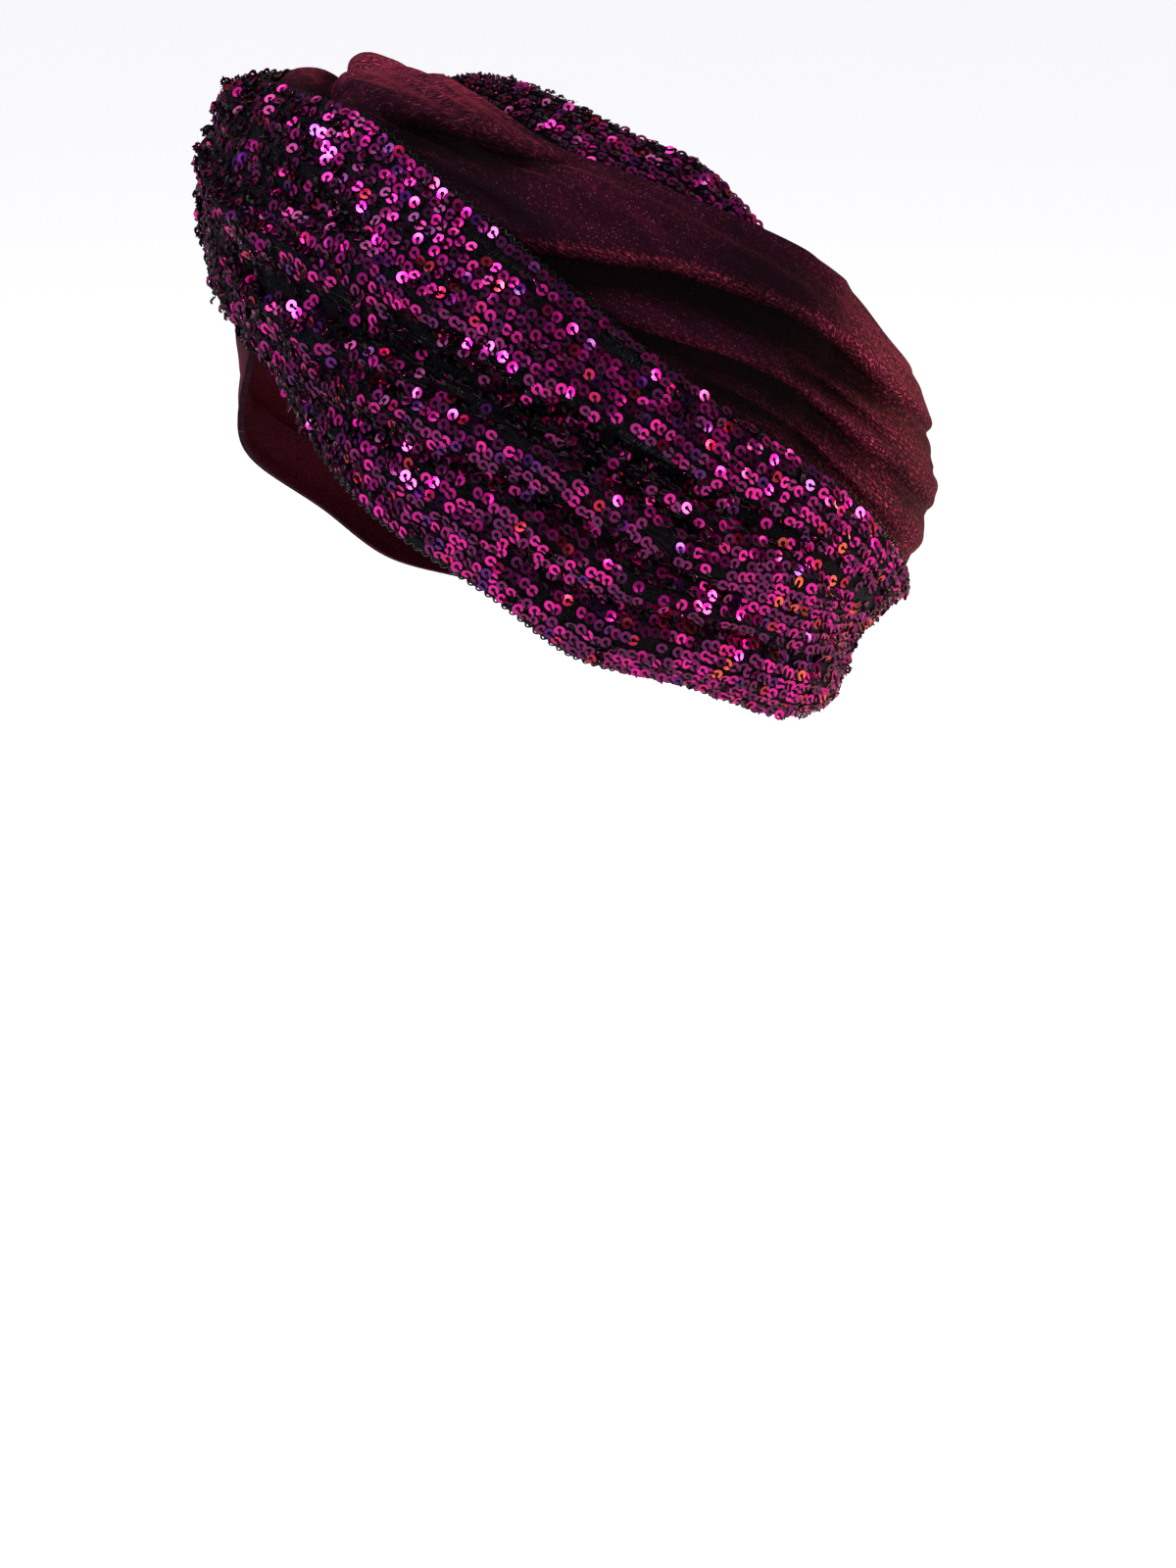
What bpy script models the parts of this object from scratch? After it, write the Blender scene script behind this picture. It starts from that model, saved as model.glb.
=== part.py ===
"""Turban headwrap: a sequin band and a velvet band that cross in a twist over the brow.

Metres, +Z up. The wearer faces -Y, and +X is the wearer's left. The origin is the
middle of the head that the wrap is worn on. A place on the head is given by two
angles about an axis that leans back: turn runs round the head from 0 at the brow
to +180 at the nape by way of the left ear, and lat runs up towards the crown.
"""

import bpy
import bmesh
import numpy as np
from mathutils import Vector

# The head that the wrap is shaped on, which sets the hollow and isn't built
HEAD_WIDTH = 0.154
HEAD_DEPTH = 0.194
HEAD_HEIGHT = 0.192
HEAD_FULLNESS = 2.35
LEAN_BACK = 32.0

# Where the head is flatter than that rounded form, a row each: the turn on either side
# and the lat of the middle, the reach round, below and above in degrees, and the depth
# as a share of HEAD_WIDTH: the temples, the nape, the back of the crown and its front
HEAD_FLATS = [
    # turn, lat, round, below, above, depth
    (0, -22.0, 31.0, 12.0, 9.0, 0.055),
    (180, -7.0, 40.0, 4.5, 8.0, 0.065),
    (165, 42.0, 45.0, 16.0, 16.0, 0.039),
    (0, 54.0, 50.0, 8.0, 12.0, 0.027),
]

# Cloth
SEQUIN_WALL = 0.0022
VELVET_WALL = 0.0018
STRIP_WALL = 0.0018
BAND_WIDTH = 0.0785
KNOT_RISE = 0.032
FOLD_DEPTH = 0.0070
FOLD_REACH = 0.0048
EDGE_ROLL = 0.0075
EDGE_DROP = 0.0035

# Clearances: cloth to head, cloth to cloth, and between the ends sewn at the nape
HEAD_GAP = 0.0003
LAYER_GAP = 0.0004
SEAM_GAP = 0.0003
LAP_MARGIN = 0.0070
LAP_FADE = 0.0090
# Cloth bridges what is beneath it over this reach, in degrees of turn and of lat
BRIDGED = [(0, 0), (2.5, 0), (-2.5, 0), (0, 1.6), (0, -1.6)]

# Facets of each piece: round the head and across the band. Sections stand closer
# together at the twist, where their spacing is this share of the mean
SEQUIN_CELLS = (68, 21)
VELVET_CELLS = (60, 21)
STRIP_CELLS = (20, 5)
TWIST_EVENNESS = 0.62

HEAD_HALF = np.array([HEAD_WIDTH, HEAD_DEPTH, HEAD_HEIGHT]) / 2
HEAD_RADIUS = HEAD_HALF.mean()

# Sections round the head. turn and line are degrees: line is the lat of the band's
# middle. width is a share of BAND_WIDTH. The last five columns are how far the cloth
# stands off the head, as shares of KNOT_RISE, at the quarters from lower to upper edge.
SEQUIN_SECTIONS = [
    # turn, line, width, lower, quarter, middle, three_quarter, upper
    (-180, 20.0, 0.68, 0.14, 0.16, 0.18, 0.18, 0.08),
    (-145, 21.5, 0.70, 0.16, 0.18, 0.20, 0.19, 0.08),
    (-126, 23.5, 0.68, 0.22, 0.24, 0.24, 0.22, 0.10),
    (-90, 28.0, 0.64, 0.28, 0.29, 0.27, 0.23, 0.13),
    (-50, 23.5, 0.54, 0.31, 0.40, 0.40, 0.31, 0.18),
    (-30, 15.2, 0.51, 0.26, 0.52, 0.69, 0.63, 0.40),
    (-14, 7.2, 0.41, 0.12, 0.40, 0.75, 0.92, 0.88),
    (-3, 2.6, 0.54, 0.10, 0.37, 0.70, 0.88, 0.82),
    (8, -1.0, 0.68, 0.08, 0.33, 0.62, 0.76, 0.70),
    (19, -3.5, 0.82, 0.08, 0.28, 0.46, 0.54, 0.50),
    (38, -7.5, 0.90, 0.10, 0.24, 0.35, 0.39, 0.36),
    (67, -11.0, 0.96, 0.12, 0.23, 0.28, 0.31, 0.31),
    (90, -12.7, 1.01, 0.13, 0.22, 0.27, 0.30, 0.30),
    (115, -10.5, 0.86, 0.13, 0.19, 0.22, 0.25, 0.25),
    (143, -9.2, 0.60, 0.10, 0.10, 0.12, 0.17, 0.15),
    (157, -6.5, 0.42, 0.07, 0.05, 0.05, 0.13, 0.13),
    (180, -5.0, 0.40, 0.07, 0.05, 0.05, 0.13, 0.13),
]
VELVET_SECTIONS = [
    # turn, line, width, lower, quarter, middle, three_quarter, upper
    (-180, -3.0, 0.48, 0.07, 0.05, 0.05, 0.05, 0.05),
    (-157, -3.5, 0.54, 0.07, 0.05, 0.05, 0.05, 0.05),
    (-143, -6.5, 0.70, 0.10, 0.10, 0.10, 0.10, 0.06),
    (-115, -8.0, 0.96, 0.12, 0.19, 0.22, 0.17, 0.06),
    (-90, -9.5, 1.14, 0.13, 0.20, 0.23, 0.20, 0.06),
    (-67, -7.5, 1.10, 0.11, 0.19, 0.22, 0.19, 0.08),
    (-45, -6.0, 1.04, 0.07, 0.16, 0.19, 0.19, 0.10),
    (-30, 0.0, 1.12, 0.06, 0.12, 0.19, 0.40, 0.12),
    (-14, 8.2, 1.19, 0.06, 0.09, 0.58, 0.66, 0.17),
    (0, 12.0, 1.00, 0.08, 0.38, 0.68, 0.53, 0.17),
    (12, 16.0, 0.76, 0.14, 0.40, 0.58, 0.47, 0.20),
    (25, 19.2, 0.57, 0.16, 0.28, 0.38, 0.35, 0.19),
    (36, 20.0, 0.52, 0.09, 0.20, 0.31, 0.31, 0.18),
    (50, 21.2, 0.63, 0.06, 0.16, 0.25, 0.26, 0.17),
    (66, 23.0, 0.72, 0.06, 0.14, 0.22, 0.24, 0.15),
    (89, 24.5, 0.78, 0.05, 0.12, 0.20, 0.22, 0.13),
    (107, 23.2, 0.81, 0.05, 0.12, 0.19, 0.21, 0.12),
    (126, 19.2, 0.85, 0.05, 0.10, 0.18, 0.20, 0.10),
    (145, 17.5, 0.86, 0.05, 0.08, 0.17, 0.20, 0.08),
    (180, 16.5, 0.82, 0.05, 0.08, 0.16, 0.19, 0.08),
]
STRIP_SECTIONS = [
    # turn, line, width, lower, quarter, middle, three_quarter, upper
    (-48, 26.0, 0.40, 0.04, 0.04, 0.04, 0.04, 0.04),
    (-30, 28.0, 0.64, 0.04, 0.04, 0.04, 0.04, 0.04),
    (0, 27.5, 0.70, 0.04, 0.04, 0.04, 0.04, 0.04),
    (43, 28.5, 0.70, 0.04, 0.04, 0.04, 0.04, 0.04),
    (60, 30.0, 0.74, 0.04, 0.04, 0.04, 0.04, 0.04),
    (79, 29.0, 0.60, 0.04, 0.04, 0.04, 0.04, 0.04),
    (95, 28.0, 0.38, 0.04, 0.04, 0.04, 0.04, 0.04),
]

# Creases, a row each: the turn and the share across the band at the start, the middle
# and the end of the crease, and its depth as a share of FOLD_DEPTH.
SEQUIN_FOLDS = [
    # start, share, middle, share, end, share, depth
    (-26, 0.72, 4, 0.69, 30, 0.78, 0.6),
    (-24, 0.34, 14, 0.46, 54, 0.76, 0.9),
    (14, 0.42, 70, 0.70, 168, 0.76, 1.0),
    (24, 0.30, 62, 0.44, 118, 0.48, 0.7),
    (62, 0.20, 104, 0.27, 172, 0.42, 0.6),
    (-172, 0.32, -100, 0.30, -30, 0.30, 0.8),
    (-172, 0.66, -95, 0.60, -34, 0.62, 0.8),
]
VELVET_FOLDS = [
    # start, share, middle, share, end, share, depth
    (-32, 0.93, 0, 0.71, 14, 0.47, 1.2),
    (9, 0.56, 22, 0.65, 46, 0.96, 0.7),
    (36, 0.24, 72, 0.68, 160, 0.77, 0.9),
    (54, 0.27, 93, 0.52, 168, 0.55, 0.8),
    (74, 0.32, 106, 0.42, 168, 0.33, 0.7),
    (-168, 0.70, -100, 0.62, -34, 0.56, 0.8),
    (-172, 0.42, -100, 0.40, -26, 0.34, 0.8),
    (-150, 0.20, -100, 0.20, -36, 0.18, 0.6),
]
FOLD_TAPER = 12.0

SEQUIN_CLOTH = dict(colour=(0.24, 0.008, 0.13), roughness=0.32, metallic=0.55)
VELVET_CLOTH = dict(colour=(0.13, 0.006, 0.018), roughness=0.85, metallic=0.0)


def curve_through(knots, values, at):
    """A smooth curve through values given at rising knots, read at any places."""
    knots = np.asarray(knots, float)
    values = np.asarray(values, float)
    step = np.diff(knots)
    run = np.diff(values, axis=0) / step[:, None]
    inner = (values[2:] - values[:-2]) / (knots[2:] - knots[:-2])[:, None]
    slope = np.concatenate([run[:1], inner, run[-1:]])
    k = np.clip(np.searchsorted(knots, at) - 1, 0, len(step) - 1)
    t = np.clip((at - knots[k]) / step[k], 0, 1)[:, None]
    rise = step[k][:, None]
    return (
        (1 + 2 * t) * (1 - t) ** 2 * values[k]
        + t * (1 - t) ** 2 * rise * slope[k]
        + t * t * (3 - 2 * t) * values[k + 1]
        + t * t * (t - 1) * rise * slope[k + 1]
    )


def ease(x):
    """0 below 0, 1 above 1, and smooth between."""
    x = np.clip(x, 0, 1)
    return x * x * (3 - 2 * x)


def arc_degrees(length):
    """The angle that a length takes up on the head."""
    return np.degrees(length / HEAD_RADIUS)


def flattened(turn, lat):
    """How far the head lies inside its rounded form."""
    depth = 0
    for middle, level, round_it, below, above, share in HEAD_FLATS:
        along = (np.abs(turn) - middle) / round_it
        up = (lat - level) / np.where(lat > level, above, below)
        depth = depth + share * HEAD_WIDTH * np.exp(-(along**4 + up**2) / 2)
    return depth


def on_head(turn, lat, height):
    """Points at a height over the head, where turn and lat say."""
    height = height - flattened(turn, lat)
    lean = np.radians(LEAN_BACK)
    turn, lat = np.radians(turn), np.radians(lat)
    front = np.cos(lat) * np.cos(turn)
    up = np.sin(lat)
    aim = np.stack(
        [
            np.cos(lat) * np.sin(turn),
            up * np.sin(lean) - front * np.cos(lean),
            up * np.cos(lean) + front * np.sin(lean),
        ],
        axis=-1,
    )
    full = np.abs(aim / HEAD_HALF) ** HEAD_FULLNESS
    skin = aim * full.sum(-1, keepdims=True) ** (-1 / HEAD_FULLNESS)
    normal = np.sign(skin) * np.abs(skin / HEAD_HALF) ** (HEAD_FULLNESS - 1) / HEAD_HALF
    normal /= np.linalg.norm(normal, axis=-1, keepdims=True)
    return skin + normal * np.asarray(height)[..., None]


class Cloth:
    """A band of cloth round the head, which lies over the head or over other bands."""

    def __init__(self, sections, folds, wall, beneath):
        self.sections = np.asarray(sections, float)
        self.folds = folds
        self.wall = wall
        self.beneath = beneath
        self.start = self.sections[0, 0]
        self.end = self.sections[-1, 0]

    def edges(self, turn):
        """The lat of the lower edge, and the width in degrees."""
        line, width = curve_through(self.sections[:, 0], self.sections[:, 1:3], turn).T
        span = arc_degrees(width * BAND_WIDTH)
        return line - span / 2, span

    def envelope(self, turn, share):
        """How far the middle of the wall stands off the head, but for its creases."""
        quarters = curve_through(self.sections[:, 0], self.sections[:, 3:], turn)
        k = np.clip((share * 4).astype(int), 0, 3)
        before = np.clip(k - 1, 0, 4)
        after = np.clip(k + 2, 0, 4)
        row = np.arange(len(turn))
        y0, y1, y2, y3 = (quarters[row, c] for c in (before, k, k + 1, after))
        t = share * 4 - k
        bend = (y2 - y0) / 2, (y3 - y1) / 2
        rise = (
            (1 + 2 * t) * (1 - t) ** 2 * y1
            + t * (1 - t) ** 2 * bend[0]
            + t * t * (3 - 2 * t) * y2
            + t * t * (t - 1) * bend[1]
        )
        return rise * KNOT_RISE

    def cover(self, turn, lat):
        """1 where this band lies, with a margin round it, and 0 well away from it."""
        low, span = self.edges(np.clip(turn, self.start, self.end))
        beside = np.maximum(low - lat, lat - low - span)
        past = np.maximum(self.start - turn, turn - self.end) * np.cos(np.radians(lat))
        away = np.radians(np.maximum(beside, past)) * HEAD_RADIUS
        return 1 - ease((away - LAP_MARGIN) / LAP_FADE)

    def top(self, turn, lat):
        """The highest that the outer face of this band comes, at a turn and a lat."""
        inside = np.clip(turn, self.start, self.end)
        low, span = self.edges(inside)
        share = np.clip((lat - low) / span, 0, 1)
        middle = np.maximum(self.envelope(inside, share), self.floor(turn, lat))
        return middle + self.wall / 2

    def floor(self, turn, lat):
        """The lowest that the middle of the wall may lie, on what is beneath it."""
        low = np.full(len(turn), HEAD_GAP + self.wall / 2)
        for band in self.beneath:
            near = [band.top(turn + side, lat + up) for side, up in BRIDGED]
            over = np.max(near, axis=0) + LAYER_GAP + self.wall / 2
            mix = band.cover(turn, lat)
            low = np.where(over > low, low + (over - low) * mix, low)
        return low

    def creases(self, turn, share, span):
        """The depth of all the creases at a turn and a share across the band."""
        depth = np.zeros(len(turn))
        across = np.radians(span) * HEAD_RADIUS
        for t0, s0, t1, s1, t2, s2, deep in self.folds:
            line = curve_through([t0, t1, t2], [[s0], [s1], [s2]], turn)[:, 0]
            away = np.abs(share - line) * across / FOLD_REACH
            inside = ease((turn - t0) / FOLD_TAPER) * ease((t2 - turn) / FOLD_TAPER)
            depth += deep * inside * np.exp(-(away**1.6))
        return depth * FOLD_DEPTH

    def heights(self, turn, share):
        """The lat, and the height of the middle of the wall."""
        low, span = self.edges(turn)
        lat = low + span * share
        floor = self.floor(turn, lat)
        crest = np.maximum(self.envelope(turn, share), floor)
        proud = np.maximum(crest - self.creases(turn, share, span) - floor, 0)
        roll = np.radians(span) * HEAD_RADIUS * np.minimum(share, 1 - share) / EDGE_ROLL
        turned_in = np.minimum(proud, EDGE_DROP) * (1 - np.sin(np.clip(roll, 0, 1) * np.pi / 2))
        return lat, floor + proud - turned_in


def skin(cloth, cells, side):
    """The points of one face of the wall, a row for each section."""
    middle, half = (cloth.start + cloth.end) / 2, (cloth.end - cloth.start) / 2
    way = np.linspace(-1, 1, cells[0] + 1)
    turns = middle + half * (TWIST_EVENNESS * way + (1 - TWIST_EVENNESS) * way**3)
    shares = np.linspace(0, 1, cells[1] + 1)
    turn, share = (grid.ravel() for grid in np.meshgrid(turns, shares, indexing="ij"))
    lat, height = cloth.heights(turn, share)
    points = on_head(turn, lat, height + side * cloth.wall / 2)
    points = points.reshape(cells[0] + 1, cells[1] + 1, 3)
    for row, turn_of_row in ((0, turns[0]), (-1, turns[-1])):
        if abs(turn_of_row) == 180:
            points[row, :, 0] = np.sign(turn_of_row) * SEAM_GAP / 2
    return points


def sheet_body(name, cloth, cells, finish):
    """A closed solid from the outer and the inner face of a band."""
    faces = skin(cloth, cells, 1), skin(cloth, cells, -1)
    mesh = bmesh.new()
    outer, inner = (
        [[mesh.verts.new(Vector(point)) for point in row] for row in points]
        for points in faces
    )
    rows, columns = cells
    for i in range(rows):
        for j in range(columns):
            corners = [(i, j), (i + 1, j), (i + 1, j + 1), (i, j + 1)]
            mesh.faces.new([outer[a][b] for a, b in corners])
            mesh.faces.new([inner[a][b] for a, b in reversed(corners)])
    rim = [(i, 0) for i in range(rows, 0, -1)]
    rim += [(0, j) for j in range(columns)]
    rim += [(i, columns) for i in range(rows)]
    rim += [(rows, j) for j in range(columns, 0, -1)]
    for (a, b), (c, d) in zip(rim, rim[1:] + rim[:1]):
        mesh.faces.new([outer[a][b], outer[c][d], inner[c][d], inner[a][b]])
    bmesh.ops.triangulate(mesh, faces=mesh.faces[:], quad_method="SHORT_EDGE")
    bmesh.ops.recalc_face_normals(mesh, faces=mesh.faces[:])
    data = bpy.data.meshes.new(name)
    mesh.to_mesh(data)
    mesh.free()
    data.shade_smooth()
    data.set_sharp_from_angle(angle=np.radians(60))
    body = bpy.data.objects.new(name, data)
    body.data.materials.append(finish)
    bpy.context.scene.collection.objects.link(body)
    return body


def cloth_finish(name, colour, roughness, metallic):
    """A plain cloth material."""
    finish = bpy.data.materials.new(name)
    finish.use_nodes = True
    shader = finish.node_tree.nodes["Principled BSDF"]
    shader.inputs["Base Color"].default_value = (*colour, 1)
    shader.inputs["Roughness"].default_value = roughness
    shader.inputs["Metallic"].default_value = metallic
    return finish


def main():
    for old in list(bpy.data.objects):
        bpy.data.objects.remove(old, do_unlink=True)
    strip = Cloth(STRIP_SECTIONS, [], STRIP_WALL, [])
    velvet = Cloth(VELVET_SECTIONS, VELVET_FOLDS, VELVET_WALL, [strip])
    sequin = Cloth(SEQUIN_SECTIONS, SEQUIN_FOLDS, SEQUIN_WALL, [strip, velvet])
    sequin_finish = cloth_finish("sequin_cloth", **SEQUIN_CLOTH)
    velvet_finish = cloth_finish("velvet_cloth", **VELVET_CLOTH)
    strip_finish = cloth_finish("sequin_strip_cloth", **SEQUIN_CLOTH)
    sheet_body("sequin_band", sequin, SEQUIN_CELLS, sequin_finish)
    sheet_body("velvet_band", velvet, VELVET_CELLS, velvet_finish)
    sheet_body("sequin_crown_strip", strip, STRIP_CELLS, strip_finish)


main()
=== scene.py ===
"""Looks of the turban headwrap: velvet, sequins, their threads and the edges.

Metres, +Z up. The wearer faces -Y, and the origin is the middle of the wearer's head.
A place on the head is given by two angles about an axis that leans back: turn runs
round the head from 0 at the brow to +180 at the nape by way of the left ear, and lat
runs up towards the crown. The sizes and the section tables are the solid model's own.
"""

import bpy
import numpy as np
from mathutils import Matrix


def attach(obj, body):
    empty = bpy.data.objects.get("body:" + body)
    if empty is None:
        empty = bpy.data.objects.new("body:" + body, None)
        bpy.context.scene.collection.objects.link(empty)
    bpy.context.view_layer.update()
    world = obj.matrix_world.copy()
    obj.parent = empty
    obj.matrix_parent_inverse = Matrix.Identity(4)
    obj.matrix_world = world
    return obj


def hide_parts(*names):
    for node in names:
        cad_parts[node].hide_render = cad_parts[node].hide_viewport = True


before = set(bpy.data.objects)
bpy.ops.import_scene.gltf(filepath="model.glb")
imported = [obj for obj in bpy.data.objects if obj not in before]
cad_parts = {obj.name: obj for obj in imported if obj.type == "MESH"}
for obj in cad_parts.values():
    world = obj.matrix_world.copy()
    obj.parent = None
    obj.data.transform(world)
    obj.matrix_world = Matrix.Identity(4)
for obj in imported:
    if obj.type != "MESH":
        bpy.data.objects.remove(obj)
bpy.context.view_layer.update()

# The head that the wrap is shaped on. Its flats are in degrees, and the depth of each
# is a share of the head's width.
HEAD_WIDTH = 0.154
HEAD_DEPTH = 0.194
HEAD_HEIGHT = 0.192
HEAD_FULLNESS = 2.35
LEAN_BACK = 32.0
HEAD_FLATS = [
    # turn, lat, round, below, above, depth
    (0, -22.0, 31.0, 12.0, 9.0, 0.055),
    (180, -7.0, 40.0, 4.5, 8.0, 0.065),
    (165, 42.0, 45.0, 16.0, 16.0, 0.039),
    (0, 54.0, 50.0, 8.0, 12.0, 0.027),
]

# Cloth, as in the solid model
SEQUIN_WALL = 0.0022
VELVET_WALL = 0.0018
STRIP_WALL = 0.0018
BAND_WIDTH = 0.0785
KNOT_RISE = 0.032
FOLD_DEPTH = 0.0070
FOLD_TAPER = 12.0
EDGE_ROLL = 0.0075
EDGE_DROP = 0.0035
HEAD_GAP = 0.0003
LAYER_GAP = 0.0004
LAP_MARGIN = 0.0070
LAP_FADE = 0.0090
# Steps of turn and lat round a place, all of which a band clears over another
BRIDGED = [(0, 0), (2.5, 0), (-2.5, 0), (0, 1.6), (0, -1.6)]
# 1 would space the facets evenly round the head, and less draws them to the twist
TWIST_SPACING = 0.62

# The bands are turned in at the nape, where they meet but for this gap
SEAM_TURN = 180
SEAM_GAP = 0.00002

# Facets of each cloth, round the head and across the band
SEQUIN_CELLS = (340, 84)
VELVET_CELLS = (340, 128)
STRIP_CELLS = (96, 26)

HEAD_HALF = np.array([HEAD_WIDTH, HEAD_DEPTH, HEAD_HEIGHT]) / 2
HEAD_RADIUS = HEAD_HALF.mean()

SEQUIN_SECTIONS = [
    # turn, line, width, lower, quarter, middle, three_quarter, upper
    (-180, 20.0, 0.68, 0.14, 0.16, 0.18, 0.18, 0.08),
    (-145, 21.5, 0.70, 0.16, 0.18, 0.20, 0.19, 0.08),
    (-126, 23.5, 0.68, 0.22, 0.24, 0.24, 0.22, 0.10),
    (-90, 28.0, 0.64, 0.28, 0.29, 0.27, 0.23, 0.13),
    (-50, 23.5, 0.54, 0.31, 0.40, 0.40, 0.31, 0.18),
    (-30, 15.2, 0.51, 0.26, 0.52, 0.69, 0.63, 0.40),
    (-14, 7.2, 0.41, 0.12, 0.40, 0.75, 0.92, 0.88),
    (-3, 2.6, 0.54, 0.10, 0.37, 0.70, 0.88, 0.82),
    (8, -1.0, 0.68, 0.08, 0.33, 0.62, 0.76, 0.70),
    (19, -3.5, 0.82, 0.08, 0.28, 0.46, 0.54, 0.50),
    (38, -7.5, 0.90, 0.10, 0.24, 0.35, 0.39, 0.36),
    (67, -11.0, 0.96, 0.12, 0.23, 0.28, 0.31, 0.31),
    (90, -12.7, 1.01, 0.13, 0.22, 0.27, 0.30, 0.30),
    (115, -10.5, 0.86, 0.13, 0.19, 0.22, 0.25, 0.25),
    (143, -9.2, 0.60, 0.10, 0.10, 0.12, 0.17, 0.15),
    (157, -6.5, 0.42, 0.07, 0.05, 0.05, 0.13, 0.13),
    (180, -5.0, 0.40, 0.07, 0.05, 0.05, 0.13, 0.13),
]
VELVET_SECTIONS = [
    # turn, line, width, lower, quarter, middle, three_quarter, upper
    (-180, -3.0, 0.48, 0.07, 0.05, 0.05, 0.05, 0.05),
    (-157, -3.5, 0.54, 0.07, 0.05, 0.05, 0.05, 0.05),
    (-143, -6.5, 0.70, 0.10, 0.10, 0.10, 0.10, 0.06),
    (-115, -8.0, 0.96, 0.12, 0.19, 0.22, 0.17, 0.06),
    (-90, -9.5, 1.14, 0.13, 0.20, 0.23, 0.20, 0.06),
    (-67, -7.5, 1.10, 0.11, 0.19, 0.22, 0.19, 0.08),
    (-45, -6.0, 1.04, 0.07, 0.16, 0.19, 0.19, 0.10),
    (-30, 0.0, 1.12, 0.06, 0.12, 0.19, 0.40, 0.12),
    (-14, 8.2, 1.19, 0.06, 0.09, 0.58, 0.66, 0.17),
    (0, 12.0, 1.00, 0.08, 0.38, 0.68, 0.53, 0.17),
    (12, 16.0, 0.76, 0.14, 0.40, 0.58, 0.47, 0.20),
    (25, 19.2, 0.57, 0.16, 0.28, 0.38, 0.35, 0.19),
    (36, 20.0, 0.52, 0.09, 0.20, 0.31, 0.31, 0.18),
    (50, 21.2, 0.63, 0.06, 0.16, 0.25, 0.26, 0.17),
    (66, 23.0, 0.72, 0.06, 0.14, 0.22, 0.24, 0.15),
    (89, 24.5, 0.78, 0.05, 0.12, 0.20, 0.22, 0.13),
    (107, 23.2, 0.81, 0.05, 0.12, 0.19, 0.21, 0.12),
    (126, 19.2, 0.85, 0.05, 0.10, 0.18, 0.20, 0.10),
    (145, 17.5, 0.86, 0.05, 0.08, 0.17, 0.20, 0.08),
    (180, 16.5, 0.82, 0.05, 0.08, 0.16, 0.19, 0.08),
]
STRIP_SECTIONS = [
    # turn, line, width, lower, quarter, middle, three_quarter, upper
    (-48, 26.0, 0.40, 0.04, 0.04, 0.04, 0.04, 0.04),
    (-30, 28.0, 0.64, 0.04, 0.04, 0.04, 0.04, 0.04),
    (0, 27.5, 0.70, 0.04, 0.04, 0.04, 0.04, 0.04),
    (43, 28.5, 0.70, 0.04, 0.04, 0.04, 0.04, 0.04),
    (60, 30.0, 0.74, 0.04, 0.04, 0.04, 0.04, 0.04),
    (79, 29.0, 0.60, 0.04, 0.04, 0.04, 0.04, 0.04),
    (95, 28.0, 0.38, 0.04, 0.04, 0.04, 0.04, 0.04),
]

# Creases, a row each, with how far the cloth reaches into its shadow from above and
# from below. They follow those of the solid model, some of them moved, with more added.
SEQUIN_FOLDS = [
    # start, share, middle, share, end, share, depth, above, pocket, below
    (-26, 0.72, 4, 0.69, 30, 0.78, 0.6, 0.0026, 0.0004, 0.0036),
    (-24, 0.34, 14, 0.46, 54, 0.76, 0.8, 0.0026, 0.0006, 0.0038),
    (12, 0.46, 67, 0.67, 168, 0.80, 1.1, 0.0024, 0.0014, 0.0036),
    (20, 0.30, 56, 0.56, 104, 0.58, 0.7, 0.0022, 0.0006, 0.0034),
    (24, 0.22, 62, 0.36, 118, 0.44, 0.6, 0.0026, 0.0004, 0.0036),
    (58, 0.14, 104, 0.26, 172, 0.42, 0.6, 0.0026, 0.0004, 0.0036),
    (-172, 0.32, -100, 0.30, -30, 0.30, 0.8, 0.0030, 0.0008, 0.0042),
    (-172, 0.66, -95, 0.60, -34, 0.62, 0.8, 0.0030, 0.0008, 0.0042),
]
VELVET_FOLDS = [
    # start, share, middle, share, end, share, depth, above, pocket, below
    (-32, 0.93, 0, 0.71, 14, 0.47, 1.2, 0.0024, 0.0010, 0.0040),
    (9, 0.56, 22, 0.65, 46, 0.96, 0.7, 0.0016, 0.0024, 0.0090),
    (34, 0.24, 72, 0.68, 168, 0.80, 1.2, 0.0012, 0.0040, 0.0060),
    (88, 0.56, 112, 0.60, 168, 0.66, 0.7, 0.0010, 0.0016, 0.0026),
    (52, 0.25, 93, 0.47, 168, 0.50, 1.0, 0.0012, 0.0024, 0.0050),
    (72, 0.27, 106, 0.34, 168, 0.30, 0.8, 0.0012, 0.0016, 0.0040),
    (-168, 0.70, -100, 0.62, -34, 0.56, 0.8, 0.0016, 0.0016, 0.0055),
    (-172, 0.42, -100, 0.40, -26, 0.34, 0.8, 0.0016, 0.0016, 0.0055),
    (-150, 0.20, -100, 0.20, -36, 0.18, 0.6, 0.0016, 0.0010, 0.0050),
]
CREASE_SHARPNESS = 1.6
# A crease of this depth, as a share of FOLD_DEPTH, takes the darker, duller copy of the velvet:
# painted shade
SHADED_COPY_DEPTH = 0.5
# A velvet fold swells by its crease and hangs over it, by this much over this reach
FOLD_SWELL = 0.0012
SWELL_REACH = 0.0034
FOLD_DROOP = 0.0024
DROOP_REACH = 0.0026
# Velvet folds are this much shallower towards the nape on the left. Each pair named
# FROM says where a change starts and over what run it comes in fully.
FOLD_CALM = 0.72
CALM_FROM = (104, 28)

# Fine pleats across a band, a row each: how many, how they slant, phase, and share
PLEATS = [
    # count, slant, phase, share
    (6.0, 0.0007, 0.4, 1.0),
    (9.0, -0.0011, 2.1, 0.8),
    (14.0, 0.0016, 4.4, 0.5),
]
PLEAT_DEPTH = 0.00055
# Shares of that depth everywhere, and more at the twist and at the seam
PLEAT_EVEN = 0.5
PLEAT_KNOT = 1.1
PLEAT_SEAM = 1.6
KNOT_REACH = 26
PLEAT_SEAM_FROM = (150, 30)
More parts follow.
